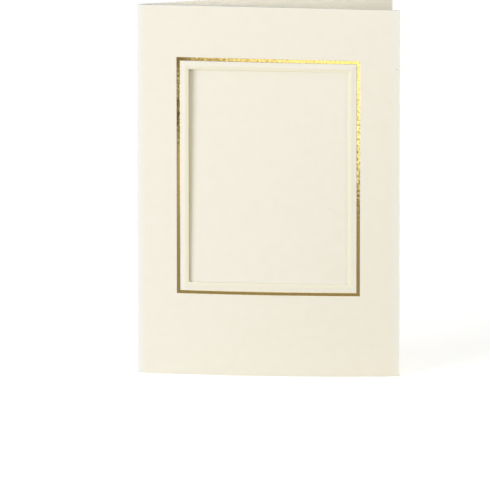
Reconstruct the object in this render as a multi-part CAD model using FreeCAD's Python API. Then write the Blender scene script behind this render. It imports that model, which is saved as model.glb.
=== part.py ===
import FreeCAD, Part
import math
import os

os.makedirs("parts", exist_ok=True)

# A three-panel window card: one sheet of board, folded twice, standing open on its foot.
# Millimetres. X runs along the front panel from the spine, Y goes back, Z is up.
# The origin is the foot of the spine, in the middle of the board.

# Closed card, over its folds, and the sheet that it is folded from
card_width = 105.0
card_height = 150.0
flap_width = 98.0
board_thickness = 0.3

# Folds, measured on the inside of the board
spine_fold_radius = 0.2
flap_fold_radius = 0.2

# How the sprung board stands
opening_angle = 19.3
front_twist = 3.7
front_foot_bow = 3.0
front_head_bow = -0.2
back_bow = 3.2
flap_gap_foot = 0.5
flap_gap_head = 2.8

# Window, measured at its cut edge
window_width = 63.6
window_height = 86.4
window_centre_height = 81.2

# Embossed border of the window: a low ridge pressed out towards the front
ridge_height = 0.18
ridge_inner_slope = 1.4
ridge_outer_slope = 1.1
cut_edge_drop = 0.05

# Foil line stamped round the border
foil_distance = 3.4
foil_line_width = 1.4
foil_thickness = 0.05
foil_recess = 0.03

# Extra board beyond the foot and the head, trimmed off flush at the end
trim_allowance = 1.0

half_board = board_thickness / 2
spine_fold_outside = spine_fold_radius + board_thickness
flap_fold_outside = flap_fold_radius + board_thickness
panel_width = card_width - spine_fold_outside - flap_fold_outside
back_width = panel_width + flap_fold_outside
cutter_reach = 5 * board_thickness
stock_low = -trim_allowance
stock_high = card_height + trim_allowance
upward = FreeCAD.Vector(0, 0, 1)


def bulge(share):
    """Height of a shallow parabola that is 0 at both ends and 1 in the middle."""
    return 4 * share * (1 - share)


def between(foot_value, head_value, z):
    """A value that changes evenly from the foot of the card to its head."""
    return foot_value + (head_value - foot_value) * z / card_height


def front_outside(x, z):
    """Y of the front panel's outer face: a straight chord that twists, with a bow."""
    lean = math.tan(math.radians(front_twist / 2))
    chord = x * between(lean, -lean, z)
    bow = between(front_foot_bow, front_head_bow, z)
    return chord - bow * bulge(x / panel_width) - half_board


def flap_outside(x, z):
    """Y of the flap's face behind the window: it springs away from the front."""
    share = (panel_width - x) / flap_width
    fold_gap = 2 * flap_fold_radius
    free_gap = between(flap_gap_foot, flap_gap_head, z)
    gap = fold_gap + (free_gap - fold_gap) * share
    return front_outside(x, z) + board_thickness + gap


def back_outside(x, z):
    """Y of the back panel's outer face while it still lies flat, left of the spine."""
    return -back_bow * bulge(-x / back_width) - half_board


def level_line(outside, x_start, x_end, z, set_back=0.0):
    """Horizontal line on a face: a parabola in plan, drawn exactly by three poles."""
    x_middle = (x_start + x_end) / 2
    y_start = outside(x_start, z) + set_back
    y_end = outside(x_end, z) + set_back
    y_middle = outside(x_middle, z) + set_back
    y_pole = 2 * y_middle - (y_start + y_end) / 2
    curve = Part.BezierCurve()
    curve.setPoles([
        FreeCAD.Vector(x_start, y_start, z),
        FreeCAD.Vector(x_middle, y_pole, z),
        FreeCAD.Vector(x_end, y_end, z),
    ])
    return curve.toShape()


def upright_line(outside, x, z_low, z_high, set_back=0.0):
    """Vertical line on a face: straight, because a face changes evenly with height."""
    low = FreeCAD.Vector(x, outside(x, z_low) + set_back, z_low)
    high = FreeCAD.Vector(x, outside(x, z_high) + set_back, z_high)
    return Part.makeLine(low, high)


def thicken(edge_a, edge_b, thickness):
    """Solid layer behind the ruled face between two edges."""
    face = Part.makeRuledSurface(edge_a, edge_b)
    return face.extrude(FreeCAD.Vector(0, thickness, 0))


def layer(outside, x_start, x_end, z_low, z_high, thickness, set_back=0.0):
    """Layer of even thickness that follows a face inside an upright rectangle."""
    low = level_line(outside, x_start, x_end, z_low, set_back)
    high = level_line(outside, x_start, x_end, z_high, set_back)
    return thicken(low, high, thickness)


def window_rectangle(margin=0.0):
    """Left, right, low and high limits of the window with a margin all round it."""
    half_width = window_width / 2 + margin
    half_height = window_height / 2 + margin
    middle = panel_width / 2
    return (middle - half_width, middle + half_width,
            window_centre_height - half_height, window_centre_height + half_height)


def frame_layer(outer, inner, thickness, set_back):
    """Picture-frame layer of the front face between two rectangles."""
    solid = layer(front_outside, *outer, thickness, set_back)
    opening = layer(front_outside, *inner, thickness + 2 * cutter_reach, set_back - cutter_reach)
    return solid.cut(opening)


def foil_rectangles():
    """Outer and inner limits of the foil line."""
    return window_rectangle(foil_distance + foil_line_width), window_rectangle(foil_distance)


def make_foil_line():
    """Foil on the floor of its stamped channel, as one closed frame."""
    outer, inner = foil_rectangles()
    return frame_layer(outer, inner, foil_thickness, foil_recess)


def make_foil_channel():
    """What the stamping die presses out of the front face."""
    outer, inner = foil_rectangles()
    depth = foil_thickness + foil_recess
    return frame_layer(outer, inner, depth + cutter_reach, -cutter_reach)


def sloping_frame(outer, inner, outer_set_back, inner_set_back):
    """Four mitred strips of board that slope from one rectangle to a smaller one."""
    out_left, out_right, out_low, out_high = outer
    in_left, in_right, in_low, in_high = inner
    strips = []
    for z_outer, z_inner in ((out_low, in_low), (out_high, in_high)):
        outer_edge = level_line(front_outside, out_left, out_right, z_outer, outer_set_back)
        inner_edge = level_line(front_outside, in_left, in_right, z_inner, inner_set_back)
        strips.append(thicken(outer_edge, inner_edge, board_thickness))
    for x_outer, x_inner in ((out_left, in_left), (out_right, in_right)):
        outer_edge = upright_line(front_outside, x_outer, out_low, out_high, outer_set_back)
        inner_edge = upright_line(front_outside, x_inner, in_low, in_high, inner_set_back)
        strips.append(thicken(outer_edge, inner_edge, board_thickness))
    return strips


def make_front_panel():
    """Front panel with the stamped channel, and the window in its embossed border."""
    foot_of_ridge = window_rectangle(ridge_inner_slope + ridge_outer_slope)
    crest = window_rectangle(ridge_inner_slope)
    panel = layer(front_outside, 0, panel_width, stock_low, stock_high, board_thickness)
    reach = board_thickness + 2 * cutter_reach
    hole = layer(front_outside, *foot_of_ridge, reach, -cutter_reach)
    panel = panel.cut([hole, make_foil_channel()])
    outer_slope = sloping_frame(foot_of_ridge, crest, 0, -ridge_height)
    inner_slope = sloping_frame(crest, window_rectangle(), -ridge_height, cut_edge_drop)
    return panel.fuse(outer_slope + inner_slope)


def fold_section(x, y_outside, axis, turn):
    """Plan of a fold: the board's section turned about the axis of the fold."""
    outer = FreeCAD.Vector(x, y_outside, stock_low)
    inner = FreeCAD.Vector(x, y_outside + board_thickness, stock_low)
    return Part.makeLine(outer, inner).revolve(axis, upward, turn)


def make_flap_fold():
    """Half turn of board at the fore edge, leaning with the twist of the front."""
    y_low = front_outside(panel_width, stock_low)
    y_high = front_outside(panel_width, stock_high)
    axis = FreeCAD.Vector(panel_width, y_low + flap_fold_outside, stock_low)
    section = fold_section(panel_width, y_low, axis, 180)
    return section.extrude(FreeCAD.Vector(0, y_high - y_low, stock_high - stock_low))


def make_flap():
    """Inner flap that closes the window from behind."""
    x_free = panel_width - flap_width
    return layer(flap_outside, x_free, panel_width, stock_low, stock_high, board_thickness)


def make_spine_and_back():
    """Spine fold and back panel, swung about the axis of the fold."""
    axis = FreeCAD.Vector(0, half_board + spine_fold_radius, stock_low)
    turn = opening_angle - 180
    section = fold_section(0, -half_board, axis, turn)
    spine = section.extrude((stock_high - stock_low) * upward)
    back = layer(back_outside, -back_width, 0, stock_low, stock_high, board_thickness)
    back.rotate(axis, upward, turn)
    return [spine, back]


def make_card():
    """The whole folded sheet as one solid, trimmed flush at the foot and the head."""
    pieces = [make_flap_fold(), make_flap(), *make_spine_and_back()]
    sheet = make_front_panel().fuse(pieces)
    side = 3 * card_width
    corner = FreeCAD.Vector(-side / 2, -side / 2, 0)
    trimmer = Part.makeBox(side, side, card_height, corner)
    return sheet.common(trimmer).removeSplitter()


def save(shape, name):
    """Write the one solid of a sub-part, and say what it measures."""
    solid = shape.Solids[0]
    box = solid.optimalBoundingBox(False, False)
    print(name, len(shape.Solids), solid.isValid(), round(solid.Volume, 2), len(solid.Faces),
          round(box.XLength, 2), round(box.YLength, 2), round(box.ZLength, 2))
    solid.exportStep(f"parts/{name}.step")


save(make_card(), "folded_card")
save(make_foil_line(), "foil_line")
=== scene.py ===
import math

import bpy
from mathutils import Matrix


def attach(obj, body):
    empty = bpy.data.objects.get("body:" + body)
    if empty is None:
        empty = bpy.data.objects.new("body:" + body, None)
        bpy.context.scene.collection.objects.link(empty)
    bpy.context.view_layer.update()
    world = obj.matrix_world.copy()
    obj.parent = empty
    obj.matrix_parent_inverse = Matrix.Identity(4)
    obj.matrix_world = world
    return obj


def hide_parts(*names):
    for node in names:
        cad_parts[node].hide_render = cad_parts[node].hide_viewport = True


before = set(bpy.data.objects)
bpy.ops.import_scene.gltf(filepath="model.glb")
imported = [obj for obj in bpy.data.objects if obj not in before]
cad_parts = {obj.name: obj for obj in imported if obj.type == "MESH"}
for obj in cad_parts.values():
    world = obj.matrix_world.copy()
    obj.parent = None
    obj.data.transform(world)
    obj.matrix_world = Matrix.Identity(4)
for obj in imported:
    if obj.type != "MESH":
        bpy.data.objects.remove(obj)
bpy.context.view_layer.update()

mm = 0.001
scene = bpy.context.scene
scene.view_settings.view_transform = "Standard"
print("frame loaded:", ", ".join(sorted(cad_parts)))


# Node trees: small helpers

def feed(tree, value, socket):  # a link where the value is a socket, otherwise a plain setting
    if isinstance(value, bpy.types.NodeSocket):
        tree.links.new(value, socket)
    else:
        socket.default_value = value


def addNode(tree, kind, inputs=None, **settings):
    node = tree.nodes.new(kind)
    for name, value in settings.items():
        setattr(node, name, value)
    for key, value in (inputs or {}).items():
        feed(tree, value, node.inputs[key])
    return node


def calc(tree, operation, *values, clamp=False):
    node = addNode(tree, "ShaderNodeMath", operation=operation, use_clamp=clamp)
    for value, socket in zip(values, node.inputs):
        feed(tree, value, socket)
    return node.outputs[0]


# The folding. One tree bends whatever lies on the flat sheet: the board, and the foil stamped on it.
# On the flat sheet x runs from the spine over the front and on over the flap, with the back panel
# at minus x; y is the depth below the outer face; z is up.

folding = {
    "Panel Width": 104 * mm,
    "Back Width": 104.5 * mm,
    "Card Height": 150 * mm,
    "Flap Width": 98 * mm,
    "Board Thickness": 0.3 * mm,
    "Fold Radius": 0.2 * mm,
    "Spine Run": 0.98 * mm,  # along the middle of the board, round the fold
    "Fore Fold Run": 1.1 * mm,
    "Opening Angle": math.radians(19.3),
    "Front Twist": math.radians(3.7),
    "Front Foot Bow": 3.0 * mm,
    "Front Head Bow": -0.2 * mm,
    "Back Bow": 3.2 * mm,
    "Flap Gap Foot": 0.5 * mm,
    "Flap Gap Head": 2.8 * mm,
}


def makeFoldingTree():
    tree = bpy.data.node_groups.new("foldSheet", "GeometryNodeTree")
    tree.is_modifier = True
    tree.interface.new_socket("Geometry", in_out="INPUT", socket_type="NodeSocketGeometry")
    for name in folding:
        tree.interface.new_socket(name, in_out="INPUT", socket_type="NodeSocketFloat")
    tree.interface.new_socket("Finish", in_out="INPUT", socket_type="NodeSocketMaterial")
    tree.interface.new_socket("Geometry", in_out="OUTPUT", socket_type="NodeSocketGeometry")
    given = addNode(tree, "NodeGroupInput").outputs

    def plus(a, b):
        return calc(tree, "ADD", a, b)

    def minus(a, b):
        return calc(tree, "SUBTRACT", a, b)

    def times(a, b):
        return calc(tree, "MULTIPLY", a, b)

    def over(a, b, clamp=False):
        return calc(tree, "DIVIDE", a, b, clamp=clamp)

    def atLeast(a, b):
        return calc(tree, "MAXIMUM", a, b)

    def atMost(a, b):
        return calc(tree, "MINIMUM", a, b)

    def sine(a):
        return calc(tree, "SINE", a)

    def cosine(a):
        return calc(tree, "COSINE", a)

    def between(foot, head, share):
        return plus(foot, times(minus(head, foot), share))

    def bulge(share):  # 0 at the ends, 1 midway
        return times(times(share, minus(1.0, share)), 4.0)

    def point(x, y, z):
        return addNode(tree, "ShaderNodeCombineXYZ", {0: x, 1: y, 2: z}).outputs[0]

    place = addNode(tree, "GeometryNodeInputPosition").outputs[0]
    flat = addNode(tree, "ShaderNodeSeparateXYZ", {0: place}).outputs
    width, thickness, radius = given["Panel Width"], given["Board Thickness"], given["Fold Radius"]
    upShare = over(flat["Z"], given["Card Height"])
    arm = plus(radius, minus(thickness, flat["Y"]))  # from the axis of a fold out to this depth

    # Front panel, fore fold and flap
    pastFore = minus(flat["X"], width)
    foreTurn = times(over(pastFore, given["Fore Fold Run"], clamp=True), math.pi)
    alongFlap = atLeast(minus(pastFore, given["Fore Fold Run"]), 0.0)
    flapShare = over(alongFlap, given["Flap Width"])
    across = minus(atMost(atLeast(flat["X"], 0.0), width), alongFlap)
    lean = calc(tree, "TANGENT", times(given["Front Twist"], 0.5))
    chord = times(across, times(lean, minus(1.0, times(upShare, 2.0))))
    bow = between(given["Front Foot Bow"], given["Front Head Bow"], upShare)
    lift = minus(chord, times(bow, bulge(over(across, width))))
    freeGap = between(given["Flap Gap Foot"], given["Flap Gap Head"], upShare)
    opened = times(minus(freeGap, times(radius, 2.0)), flapShare)
    axisY = plus(plus(lift, times(thickness, 0.5)), plus(radius, opened))
    frontX = plus(across, times(arm, sine(foreTurn)))
    frontY = minus(axisY, times(arm, cosine(foreTurn)))

    # Spine fold and back panel, swung about the axis of the fold
    pastSpine = times(flat["X"], -1.0)
    swing = times(
        minus(given["Opening Angle"], math.pi), over(pastSpine, given["Spine Run"], clamp=True))
    outward = atLeast(minus(pastSpine, given["Spine Run"]), 0.0)
    backLift = times(given["Back Bow"], bulge(over(outward, given["Back Width"])))
    armY = plus(backLift, arm)
    backX = minus(times(armY, sine(swing)), times(outward, cosine(swing)))
    backY = minus(
        plus(times(thickness, 0.5), radius),
        plus(times(outward, sine(swing)), times(armY, cosine(swing))))

    isBack = addNode(
        tree, "FunctionNodeCompare", {"A": flat["X"], "B": 0.0}, operation="LESS_THAN").outputs[0]
    bent = addNode(
        tree, "GeometryNodeSwitch",
        {"Switch": isBack, "False": point(frontX, frontY, flat["Z"]),
         "True": point(backX, backY, flat["Z"])},
        input_type="VECTOR").outputs[0]
    marked = addNode(
        tree, "GeometryNodeStoreNamedAttribute",
        {"Geometry": given["Geometry"], "Name": "flatPlace", "Value": place},
        data_type="FLOAT_VECTOR", domain="POINT").outputs[0]
    folded = addNode(
        tree, "GeometryNodeSetPosition", {"Geometry": marked, "Position": bent}).outputs[0]
    real = addNode(tree, "GeometryNodeRealizeInstances", {0: folded}).outputs[0]
    finished = addNode(
        tree, "GeometryNodeSetMaterial", {"Geometry": real, "Material": given["Finish"]}).outputs[0]
    addNode(tree, "NodeGroupOutput", {0: finished})
    return tree


def fold(piece, tree, finish):  # bends a flat piece, and keeps the result as a plain mesh
    modifier = piece.modifiers.new("folding", "NODES")
    modifier.node_group = tree
    for item in tree.interface.items_tree:
        if item.in_out == "INPUT" and item.name in folding:
            modifier[item.identifier] = folding[item.name]
        if item.in_out == "INPUT" and item.name == "Finish":
            modifier[item.identifier] = finish
    evaluated = piece.evaluated_get(bpy.context.evaluated_depsgraph_get())
    mesh = bpy.data.meshes.new_from_object(evaluated)
    mesh.name = piece.name
    piece.modifiers.clear()
    piece.data = mesh
    return piece


# The flat sheet: its window, its embossed border and its stamped channel

window = {
    "width": 63.6 * mm,
    "height": 86.4 * mm,
    "middleX": folding["Panel Width"] / 2,
    "middleZ": 81.2 * mm,
}

border = {
    "height": 0.18 * mm,
    "innerSlope": 1.4 * mm,
    "outerSlope": 1.1 * mm,
    "edgeDrop": 0.05 * mm,
    "softness": 0.12 * mm,
    "softSteps": 4,
}

foil = {
    "distance": 3.4 * mm,
    "lineWidth": 1.4 * mm,
    "recess": 0.03 * mm,
    "channelDepth": 0.06 * mm,
    "wall": 0.07 * mm,
    "rolledEdge": 0.1 * mm,
    "underlap": 0.005 * mm,
    "cell": 0.2 * mm,
}

sheet = {
    "cell": 2.2 * mm,  # between the stations on plain board
    "ringCell": 0.35 * mm,  # round the window
    "foldCell": 0.09 * mm,
    "cutEdgeRounding": 0.13 * mm,
    "cutEdgeLoss": 0.05 * mm,
}

roundOff = 1e-8  # places nearer than this are one


def spread(start, stop, step):  # even stations, both ends included
    count = max(1, round(abs(stop - start) / step))
    return [start + (stop - start) * i / count for i in range(count + 1)]


def merged(*runs):  # all stations in order, each once
    ordered = sorted(value for run in runs for value in run)
    return [v for i, v in enumerate(ordered) if i == 0 or v - ordered[i - 1] > roundOff]


def smoothStep(share):
    share = min(1.0, max(0.0, share))
    return share * share * (3 - 2 * share)


def fromWindow(x, z):  # distance outside the cut edge of the window, less than 0 inside it
    return max(abs(x - window["middleX"]) - window["width"] / 2,
               abs(z - window["middleZ"]) - window["height"] / 2)


def crispBorder(distance):
    crest, drop = border["innerSlope"], border["edgeDrop"]
    if distance < crest:
        return (border["height"] + drop) * distance / crest - drop
    return border["height"] * max(0.0, 1 - (distance - crest) / border["outerSlope"])


def borderHeight(distance):  # an average, because the die leaves no corner quite sharp
    steps = border["softSteps"]
    nearby = [distance + border["softness"] * k / steps for k in range(-steps, steps + 1)]
    return sum(crispBorder(near) for near in nearby) / len(nearby)


def channelDepth(distance):
    inside = min(distance - foil["distance"], foil["distance"] + foil["lineWidth"] - distance)
    return foil["channelDepth"] * smoothStep((inside + foil["wall"]) / foil["wall"])


def isFront(x):
    return 0 <= x <= folding["Panel Width"]


sheetStart = -folding["Spine Run"] - folding["Back Width"]
sheetEnd = folding["Panel Width"] + folding["Fore Fold Run"] + folding["Flap Width"]


def edgeLoss(x, z):  # how far the blade has rounded a face beside a cut edge
    toEdge = min(z, folding["Card Height"] - z, x - sheetStart, sheetEnd - x)
    if isFront(x):
        toEdge = min(toEdge, abs(fromWindow(x, z)))
    share = max(0.0, 1 - toEdge / sheet["cutEdgeRounding"])
    return sheet["cutEdgeLoss"] * share * share


def outerDepth(x, z):
    distance = fromWindow(x, z)
    pressed = channelDepth(distance) - borderHeight(distance) if isFront(x) else 0.0
    return pressed + edgeLoss(x, z)


def innerDepth(x, z):
    raised = borderHeight(fromWindow(x, z)) if isFront(x) else 0.0
    return folding["Board Thickness"] - raised - edgeLoss(x, z)


def mitre(x0, x1, z0, z1):  # which way to halve a cell on a mitre of the border
    def span(a, b, middle, size):
        return sorted((abs(a - middle) - size / 2, abs(b - middle) - size / 2))

    level = span(x0, x1, window["middleX"], window["width"])
    upright = span(z0, z1, window["middleZ"], window["height"])
    if level[0] < -roundOff or max(abs(p - q) for p, q in zip(level, upright)) > roundOff:
        return None
    return "rising" if (x0 - window["middleX"]) * (z0 - window["middleZ"]) > 0 else "falling"


def makeSlab(name, stationsX, stationsZ, isKept, outer, inner):
    vertices, numbers, faces, rims = [], {}, [], set()

    def vertex(i, j, side):
        if (i, j, side) not in numbers:
            x, z = stationsX[i], stationsZ[j]
            numbers[i, j, side] = len(vertices)
            vertices.append((x, (inner if side else outer)(x, z), z))
        return numbers[i, j, side]

    kept = {
        (i, j) for i in range(len(stationsX) - 1) for j in range(len(stationsZ) - 1)
        if isKept((stationsX[i] + stationsX[i + 1]) / 2, (stationsZ[j] + stationsZ[j + 1]) / 2)}
    for i, j in sorted(kept):
        a, b, c, d = corners = [(i, j), (i + 1, j), (i + 1, j + 1), (i, j + 1)]
        way = mitre(stationsX[i], stationsX[i + 1], stationsZ[j], stationsZ[j + 1])
        halves = {"rising": [(a, b, c), (a, c, d)], "falling": [(a, b, d), (b, c, d)]}
        for part in halves.get(way, [corners]):
            faces.append([vertex(*corner, 0) for corner in part])
            faces.append([vertex(*corner, 1) for corner in reversed(part)])
        beside = [(i, j - 1), (i + 1, j), (i, j + 1), (i - 1, j)]
        for neighbour, start, end in zip(beside, corners, corners[1:] + corners[:1]):
            if neighbour not in kept:
                rim = [vertex(*end, 0), vertex(*start, 0), vertex(*start, 1), vertex(*end, 1)]
                faces.append(rim)
                rims |= {frozenset(rim[:2]), frozenset(rim[2:])}
    mesh = bpy.data.meshes.new(name)
    mesh.from_pydata(vertices, [], faces)
    mesh.shade_smooth()
    sharp = mesh.attributes.new("sharp_edge", "BOOLEAN", "EDGE")
    sharp.data.foreach_set("value", [frozenset(edge.key) in rims for edge in mesh.edges])
    mesh.validate()
    piece = bpy.data.objects.new(name, mesh)
    scene.collection.objects.link(piece)
    return piece


def aroundWindow(distances):  # stations at these distances on both sides of the window
    left = window["middleX"] - window["width"] / 2
    right = window["middleX"] + window["width"] / 2
    foot = window["middleZ"] - window["height"] / 2
    head = window["middleZ"] + window["height"] / 2
    return ([left - d for d in distances] + [right + d for d in distances],
            [foot - d for d in distances] + [head + d for d in distances])


def nearLines(lines, reach):  # five stations across each line
    return [line + reach * k / 2 for line in lines for k in range(-2, 3)]


def makeFlatSheet():
    width, height = folding["Panel Width"], folding["Card Height"]
    crest = border["innerSlope"]
    foot = crest + border["outerSlope"]
    foilNear = foil["distance"]
    foilFar = foilNear + foil["lineWidth"]
    last = foilFar + 2 * foil["wall"]
    rounding = [0, sheet["cutEdgeRounding"] / 2, sheet["cutEdgeRounding"]]
    ring = merged(
        rounding, spread(0, last, sheet["ringCell"]),
        nearLines([crest, foot], border["softness"]), nearLines([foilNear, foilFar], foil["wall"]))
    ringX, ringZ = aroundWindow(ring)
    paneX, paneZ = aroundWindow([0])
    stationsX = merged(
        ringX, spread(*paneX, sheet["cell"]),
        spread(sheetStart, -folding["Spine Run"], sheet["cell"]),
        spread(-folding["Spine Run"], 0, sheet["foldCell"]),
        spread(0, min(ringX), sheet["cell"]), spread(max(ringX), width, sheet["cell"]),
        spread(width, width + folding["Fore Fold Run"], sheet["foldCell"]),
        spread(width + folding["Fore Fold Run"], sheetEnd, sheet["cell"]),
        [sheetStart + r for r in rounding], [sheetEnd - r for r in rounding])
    stationsZ = merged(
        ringZ, spread(*paneZ, sheet["cell"]),
        spread(0, min(ringZ), sheet["cell"]), spread(max(ringZ), height, sheet["cell"]),
        rounding, [height - r for r in rounding])
    return makeSlab(
        "cardSheet", stationsX, stationsZ,
        lambda x, z: not isFront(x) or fromWindow(x, z) > 0, outerDepth, innerDepth)


def foilTop(x, z):  # the rim of the foil runs down into the board
    distance = fromWindow(x, z) - foil["distance"]
    inside = min(distance, foil["lineWidth"] - distance)
    sunk = 1 - smoothStep(inside / foil["rolledEdge"])
    return foil["recess"] + (foil["channelDepth"] - foil["recess"]) * sunk


def foilBottom(x, z):  # just inside the board, below the floor of the channel
    return foil["channelDepth"] + foil["underlap"]


def makeFlatFoil():
    near = foil["distance"]
    far = near + foil["lineWidth"]
    rolled = spread(0, foil["rolledEdge"], foil["rolledEdge"] / 4)
    ring = merged(
        [near + r for r in rolled], [far - r for r in rolled], spread(near, far, foil["cell"]))
    ringX, ringZ = aroundWindow(ring)
    innerX, innerZ = aroundWindow([near])
    return makeSlab(
        "foilLine", merged(ringX, spread(*innerX, sheet["cell"])),
        merged(ringZ, spread(*innerZ, sheet["cell"])),
        lambda x, z: near < fromWindow(x, z) < far, foilTop, foilBottom)


# Finishes

noiseSpan = (0.3, 0.7)  # nearly all values of a noise lie in it


def newMaterial(name):
    material = bpy.data.materials.new(name)
    material.use_nodes = True
    material.node_tree.nodes.clear()
    return material, material.node_tree


def flatPlaceOf(tree, stretch):
    place = addNode(tree, "ShaderNodeAttribute", attribute_name="flatPlace").outputs["Vector"]
    return addNode(tree, "ShaderNodeMapping", {"Vector": place, "Scale": stretch}).outputs[0]


def noise(tree, place, size, detail, roughness=0.5):  # size of its features in metres
    return addNode(
        tree, "ShaderNodeTexNoise",
        {"Vector": place, "Scale": 1 / size, "Detail": detail, "Roughness": roughness}).outputs[0]


def ramp(tree, value, low, high, lowTo, highTo):
    return addNode(
        tree, "ShaderNodeMapRange",
        {"Value": value, "From Min": low, "From Max": high, "To Min": lowTo, "To Max": highTo}
    ).outputs[0]


def smoothRamp(tree, value, low, high):
    return addNode(
        tree, "ShaderNodeMapRange", {"Value": value, "From Min": low, "From Max": high},
        interpolation_type="SMOOTHSTEP").outputs[0]


def mixColour(tree, share, first, second):  # inputs 6 and 7 and output 2 are the node's colours
    node = addNode(tree, "ShaderNodeMix", data_type="RGBA")
    feed(tree, share, node.inputs["Factor"])
    feed(tree, first, node.inputs[6])
    feed(tree, second, node.inputs[7])
    return node.outputs[2]


def distanceTo(tree, place, centre):
    return addNode(
        tree, "ShaderNodeVectorMath", {0: place, 1: centre}, operation="DISTANCE").outputs["Value"]


def fromWindowNodes(tree, place):  # fromWindow, for a material
    parts = addNode(tree, "ShaderNodeSeparateXYZ", {0: place}).outputs
    sides = [
        calc(tree, "SUBTRACT",
             calc(tree, "ABSOLUTE", calc(tree, "SUBTRACT", parts[axis], window[middle])),
             window[size] / 2)
        for axis, middle, size in ((0, "middleX", "width"), (2, "middleZ", "height"))]
    return calc(tree, "MAXIMUM", *sides)


board = {
    "colour": (0.905, 0.868, 0.765, 1),
    "paleFibre": (0.955, 0.928, 0.845, 1),
    "darkFibre": (0.83, 0.78, 0.66, 1),
    "grain": (1, 1, 0.45),  # fibres lie mostly upright, along the grain
    "cloud": {"size": 5 * mm, "detail": 3.0},
    "cloudShare": 0.28,
    "fibre": {"size": 0.35 * mm, "detail": 4.0, "roughness": 0.62},
    "paleRange": (0.56, 0.74),
    "paleShare": 0.4,
    "darkRange": (0.42, 0.26),
    "darkShare": 0.22,
    "tooth": {"size": 0.22 * mm, "detail": 3.0, "roughness": 0.6},
    "toothDepth": 0.007 * mm,
    "felt": {"size": 1.6 * mm, "detail": 2.0},  # broad marks of the felt that the board was made on
    "feltDepth": 0.01 * mm,
    "roughness": (0.78, 0.92),
    "specular": 0.25,
    # the pressed colour is painted shade and warm light on the embossed slope beside the window,
    # partly the die's burnish
    "pressedShadeColour": (0.905, 0.862, 0.7, 1),
    "pressedShadeReach": (1.1 * border["innerSlope"], 0.8 * border["innerSlope"]),
    "pressedShadeShare": 0.8,
    # a painted highlight along the window's cut edge
    "cutEdgeHighlightColour": (0.965, 0.92, 0.72, 1),
    "cutEdgeHighlightWidth": 0.6 * mm,
    # a painted highlight beside the folds
    "foldHighlightColour": (0.918, 0.91, 0.87, 1),
    "foldHighlightWidth": 3 * mm,
    "specks": [  # each one's place on the flat sheet, and its radius
        ((103.2 * mm, 0, 126.05 * mm), 0.24 * mm),
        ((132.3 * mm, 0.3 * mm, 68.43 * mm), 0.13 * mm),
    ],
    "speckColour": (0.12, 0.1, 0.08, 1),
    "speckCore": 0.5,
    "speckShare": 0.8,
}


def makeBoardFinish():
    material, tree = newMaterial("ivoryBoard")
    even = flatPlaceOf(tree, (1, 1, 1))
    grained = flatPlaceOf(tree, board["grain"])
    cloud = noise(tree, even, **board["cloud"])
    fibre = noise(tree, grained, **board["fibre"])
    tooth = noise(tree, even, **board["tooth"])
    felt = noise(tree, even, **board["felt"])
    clouded = ramp(tree, cloud, *noiseSpan, 0, board["cloudShare"])
    colour = mixColour(tree, clouded, board["colour"], board["paleFibre"])
    pale = ramp(tree, fibre, *board["paleRange"], 0, board["paleShare"])
    colour = mixColour(tree, pale, colour, board["paleFibre"])
    dark = ramp(tree, fibre, *board["darkRange"], 0, board["darkShare"])
    colour = mixColour(tree, dark, colour, board["darkFibre"])
    distance = fromWindowNodes(tree, even)  # the slope beside the window is painted darker and yellower: partly board burnished by the die, partly painted shade and warm light on the embossed slope
    # pressed: painted shade and warm light on the slope, partly burnish
    pressed = ramp(tree, distance, *board["pressedShadeReach"], 0, board["pressedShadeShare"])
    colour = mixColour(tree, pressed, colour, board["pressedShadeColour"])
    rim = ramp(tree, distance, board["cutEdgeHighlightWidth"], 0, 0, 1)  # a painted highlight along the cut edge of the window
    colour = mixColour(tree, rim, colour, board["cutEdgeHighlightColour"])
    across = addNode(tree, "ShaderNodeSeparateXYZ", {0: even}).outputs[0]
    fromSpine = calc(tree, "ABSOLUTE", across)
    fromFore = calc(tree, "ABSOLUTE", calc(tree, "SUBTRACT", across, folding["Panel Width"]))
    foldHighlight = ramp(  # a painted highlight on the board beside the spine and fore folds, where the folds catch the light
        tree, calc(tree, "MINIMUM", fromSpine, fromFore), board["foldHighlightWidth"], 0, 0, 1)
    colour = mixColour(tree, foldHighlight, colour, board["foldHighlightColour"])
    for centre, radius in board["specks"]:
        speck = ramp(
            tree, distanceTo(tree, even, centre), radius, radius * board["speckCore"], 0,
            board["speckShare"])
        colour = mixColour(tree, speck, colour, board["speckColour"])
    bumps = addNode(
        tree, "ShaderNodeBump", {"Height": tooth, "Distance": board["toothDepth"], "Strength": 1.0})
    bumps = addNode(
        tree, "ShaderNodeBump",
        {"Height": felt, "Distance": board["feltDepth"], "Strength": 1.0, "Normal": bumps.outputs[0]})
    shader = addNode(
        tree, "ShaderNodeBsdfPrincipled",
        {"Base Color": colour, "Roughness": ramp(tree, fibre, *noiseSpan, *board["roughness"]),
         "Specular IOR Level": board["specular"], "Normal": bumps.outputs[0]})
    addNode(tree, "ShaderNodeOutputMaterial", {0: shader.outputs[0]})
    return material


gold = {
    "colour": (0.85, 0.63, 0.25, 1),
    # pale flecks are painted glints and deep flecks are painted dark reflections, in the crackled
    # band
    "paleGlintColour": (0.95, 0.82, 0.4, 1),
    "darkReflectionColour": (0.36, 0.25, 0.08, 1),
    "mottle": {"size": 3 * mm, "detail": 2.0},
    "crackle": {"size": 1.0 * mm, "detail": 4.0, "roughness": 0.7},
    "paleRange": (0.53, 0.58),
    "paleShare": 0.8,
    "deepReflectionRange": (0.52, 0.45),
    "deepReflectionShare": 1.0,
    "bandSlant": 0.375,  # the band of crackle climbs by this much towards the spine
    "bandFoot": (95 * mm, 107 * mm),
    "bandHead": (132 * mm, 152 * mm),
    "crackleBelow": 0.1,
    "crackleAbove": 0.4,
    # a painted dark reflection at the top-left corner of the foil
    "darkReflectionCorner": (15.4 * mm, 0, 129.2 * mm),
    "darkReflectionReach": (8 * mm, 2.5 * mm),
    "roughness": (0.05, 0.1),
    "tooth": {"size": 0.4 * mm, "detail": 2.0},
    "toothDepth": 0.002 * mm,
}


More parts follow.
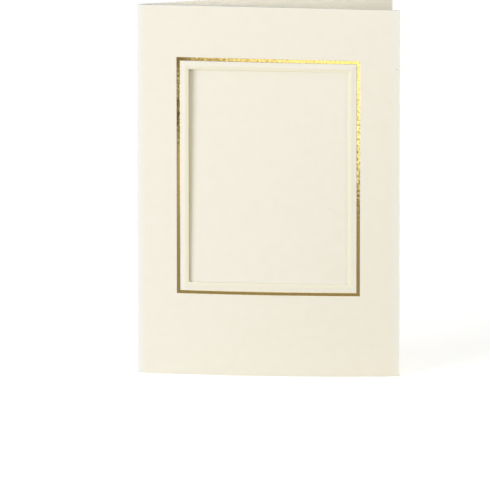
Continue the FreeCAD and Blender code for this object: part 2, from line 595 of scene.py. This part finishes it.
def makeFoilFinish():
    material, tree = newMaterial("goldFoil")
    even = flatPlaceOf(tree, (1, 1, 1))
    mottle = noise(tree, even, **gold["mottle"])
    crackle = noise(tree, even, **gold["crackle"])
    tooth = noise(tree, even, **gold["tooth"])
    across, _, height = addNode(tree, "ShaderNodeSeparateXYZ", {0: even}).outputs
    band = calc(tree, "ADD", height, calc(tree, "MULTIPLY", across, gold["bandSlant"]))
    crackled = calc(  # in a slanting band the foil is crackled, and its flecks are painted glints and painted dark reflections
        tree, "MULTIPLY", ramp(tree, band, *gold["bandFoot"], gold["crackleBelow"], 1),
        ramp(tree, band, *gold["bandHead"], 1, gold["crackleAbove"]))
    # pale: painted glints; deep: painted dark reflections
    pale = calc(
        tree, "MULTIPLY", ramp(tree, crackle, *gold["paleRange"], 0, gold["paleShare"]), crackled)
    deepReflection = calc(
        tree, "MULTIPLY", ramp(tree, crackle, *gold["deepReflectionRange"], 0, gold["deepReflectionShare"]), crackled)
    colour = mixColour(tree, pale, gold["colour"], gold["paleGlintColour"])
    colour = mixColour(tree, deepReflection, colour, gold["darkReflectionColour"])
    # a painted dark reflection at the top-left corner of the foil
    cornerDarkReflection = ramp(tree, distanceTo(tree, even, gold["darkReflectionCorner"]), *gold["darkReflectionReach"], 0, 1)
    colour = mixColour(tree, cornerDarkReflection, colour, gold["darkReflectionColour"])
    bumps = addNode(
        tree, "ShaderNodeBump", {"Height": tooth, "Distance": gold["toothDepth"], "Strength": 1.0})
    shader = addNode(
        tree, "ShaderNodeBsdfPrincipled",
        {"Base Color": colour, "Metallic": 1.0, "Normal": bumps.outputs[0],
         "Roughness": ramp(tree, mottle, *noiseSpan, *gold["roughness"])})
    addNode(tree, "ShaderNodeOutputMaterial", {0: shader.outputs[0]})
    return material


# The card

foldingTree = makeFoldingTree()
cardSheet = fold(makeFlatSheet(), foldingTree, makeBoardFinish())
print("card sheet folded:", len(cardSheet.data.polygons), "faces")
foilLine = fold(makeFlatFoil(), foldingTree, makeFoilFinish())
print("foil line stamped:", len(foilLine.data.polygons), "faces")

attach(cardSheet, "root")
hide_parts("folded_card")
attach(foilLine, "root")
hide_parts("foil_line")


# Floor, light and camera

studio = {
    "floorSize": 30.0,
    "floorColour": (0.49, 0.425, 0.23, 1),  # what the floor throws back on the card
    "shownColour": (0.95, 0.95, 0.95, 1),  # what is seen of it, which still takes a shadow
    "floorGlow": 0.485,
    "skyColour": (1.0, 1.0, 1.0, 1),
    "skyLevel": 0.28,
}


def seenDirectly(tree):  # 1 for what the camera, a gloss or a pane shows
    rays = addNode(tree, "ShaderNodeLightPath").outputs
    shown = calc(tree, "MAXIMUM", rays["Is Camera Ray"], rays["Is Glossy Ray"])
    return calc(tree, "MAXIMUM", shown, rays["Is Transmission Ray"])


def makePlane(name, left, right, near, far, height):
    corners = [(left, near, height), (right, near, height), (right, far, height), (left, far, height)]
    mesh = bpy.data.meshes.new(name)
    mesh.from_pydata(corners, [], [(0, 1, 2, 3)])
    plane = bpy.data.objects.new(name, mesh)
    scene.collection.objects.link(plane)
    return plane


def makeFloor():
    half = studio["floorSize"] / 2
    floor = makePlane("floor", -half, half, -half, half, 0)
    material, tree = newMaterial("paleFloor")
    shown = seenDirectly(tree)
    colour = mixColour(tree, shown, studio["floorColour"], studio["shownColour"])
    matt = addNode(tree, "ShaderNodeBsdfDiffuse", {"Color": colour})
    glow = calc(tree, "MULTIPLY", shown, studio["floorGlow"])
    white = addNode(tree, "ShaderNodeEmission", {"Color": (1, 1, 1, 1), "Strength": glow})
    both = addNode(tree, "ShaderNodeAddShader", {0: matt.outputs[0], 1: white.outputs[0]})
    addNode(tree, "ShaderNodeOutputMaterial", {0: both.outputs[0]})
    floor.data.materials.append(material)


def makeSky():
    world = bpy.data.worlds.new("studio")
    world.use_nodes = True
    tree = world.node_tree
    tree.nodes.clear()
    soft = addNode(
        tree, "ShaderNodeBackground", {"Color": studio["skyColour"], "Strength": studio["skyLevel"]})
    white = addNode(tree, "ShaderNodeBackground", {"Color": (1, 1, 1, 1), "Strength": 1.0})
    mixed = addNode(
        tree, "ShaderNodeMixShader", {0: seenDirectly(tree), 1: soft.outputs[0], 2: white.outputs[0]})
    addNode(tree, "ShaderNodeOutputWorld", {0: mixed.outputs[0]})
    scene.world = world


# A card lies on the floor in front, for the foil to mirror. Nothing but gloss sees it. It is grey,
# with a bright stretch on the right, away from the object, and one dark spot.
mirrored = {
    "left": -0.9,
    "right": 0.9,
    "near": -1.6,
    "far": -0.05,
    "height": 0.002,
    "greyColour": (1.0, 0.97, 0.95, 1),
    "greyAway": (0.1, 0.22),
    "greyLevel": (0.325, 0.39),
    "brightColour": (1.0, 1.05, 0.85, 1),
    "brightLevel": 1.6,
    "brightAcross": (-0.1, 0.03),
    "brightAway": (0.231, 0.361),
    "slant": 0.2,
    "slantFrom": 0.5,
    "dark": (-0.079, -0.536),
    "darkRadius": (0.02, 0.042),
    "darkLevel": 0.06,
}


def makeMirroredCard():
    card = makePlane(
        "mirroredCard", mirrored["left"], mirrored["right"], mirrored["near"], mirrored["far"],
        mirrored["height"])
    card.visible_camera = card.visible_diffuse = card.visible_shadow = False
    card.visible_transmission = card.visible_volume_scatter = False
    material, tree = newMaterial("mirroredCard")
    place = addNode(tree, "ShaderNodeTexCoord").outputs["Object"]
    x, y, _ = addNode(tree, "ShaderNodeSeparateXYZ", {0: place}).outputs
    forward = calc(tree, "MULTIPLY", y, -1.0)
    further = calc(tree, "SUBTRACT", forward, mirrored["slantFrom"])
    slanted = calc(tree, "ADD", x, calc(tree, "MULTIPLY", further, mirrored["slant"]))
    across = smoothRamp(tree, slanted, *mirrored["brightAcross"])
    away = smoothRamp(tree, forward, *mirrored["brightAway"])
    bright = calc(tree, "MULTIPLY", across, away)
    colour = mixColour(tree, bright, mirrored["greyColour"], mirrored["brightColour"])
    grey = ramp(tree, forward, *mirrored["greyAway"], *mirrored["greyLevel"])
    level = ramp(tree, bright, 0, 1, grey, mirrored["brightLevel"])
    fromDark = distanceTo(tree, place, (*mirrored["dark"], mirrored["height"]))
    clear = smoothRamp(tree, fromDark, *mirrored["darkRadius"])
    level = calc(tree, "MAXIMUM", calc(tree, "MULTIPLY", level, clear), mirrored["darkLevel"])
    glow = addNode(tree, "ShaderNodeEmission", {"Color": colour, "Strength": level})
    addNode(tree, "ShaderNodeOutputMaterial", {0: glow.outputs[0]})
    card.data.materials.append(material)


# Each lamp's turn is in degrees round the card from straight in front, and its power in watts
lamps = {
    "keyLeft": {"turn": -48, "away": 1.6, "height": 0.38, "size": (1.0, 0.28), "power": 19.3,
                "colour": (0.82, 0.858, 1.0)},
    "frontFill": {"turn": 2, "away": 2.4, "height": 0.14, "size": (0.9, 0.2), "power": 13.7,
                  "colour": (1.0, 0.994, 0.842)},
    "rightSide": {"turn": 58, "away": 1.6, "height": 0.35, "size": (0.5, 0.34), "power": 3.3,
                  "colour": (1.0, 0.92, 0.86)},
    "rightInside": {"turn": 97, "away": 1.6, "height": 0.13, "size": (0.5, 0.22), "power": 19.0,
                    "colour": (0.965, 0.985, 0.93)},
    "backFill": {"turn": 178, "away": 2.4, "height": 0.6, "size": (1.4, 0.8), "power": 24,
                 "colour": (1.0, 0.98, 0.93)},
}

aim = {"x": window["middleX"], "z": folding["Card Height"] / 2}  # what the lamps face


def makeLamps():
    for name, lamp in lamps.items():
        light = bpy.data.lights.new(name, "AREA")
        light.shape = "RECTANGLE"
        light.size, light.size_y = lamp["size"]
        light.energy = lamp["power"]
        light.color = lamp["colour"]
        turn = math.radians(lamp["turn"])
        holder = bpy.data.objects.new(name, light)
        holder.location = (aim["x"] + math.sin(turn) * lamp["away"],
                           -math.cos(turn) * lamp["away"], lamp["height"])
        tilt = math.atan2(lamp["height"] - aim["z"], lamp["away"])
        holder.rotation_euler = (math.pi / 2 - tilt, 0, turn)
        holder.visible_camera = False
        holder.visible_glossy = False
        scene.collection.objects.link(holder)


camera = {
    "place": (289.2 * mm, -2521.6 * mm, 619.6 * mm),
    "turn": (math.radians(77.44), 0, math.radians(5.585)),
    "lens": 478.5,
    "sensor": 36,
    "clipEnd": 100,
}


def makeCamera():
    data = bpy.data.cameras.new("camera")
    data.lens = camera["lens"]
    data.sensor_width = camera["sensor"]
    data.clip_end = camera["clipEnd"]
    holder = bpy.data.objects.new("camera", data)
    holder.location = camera["place"]
    holder.rotation_euler = camera["turn"]
    scene.collection.objects.link(holder)
    scene.camera = holder


makeFloor()
makeSky()
makeMirroredCard()
makeLamps()
makeCamera()
print("stage, lamps and camera set")
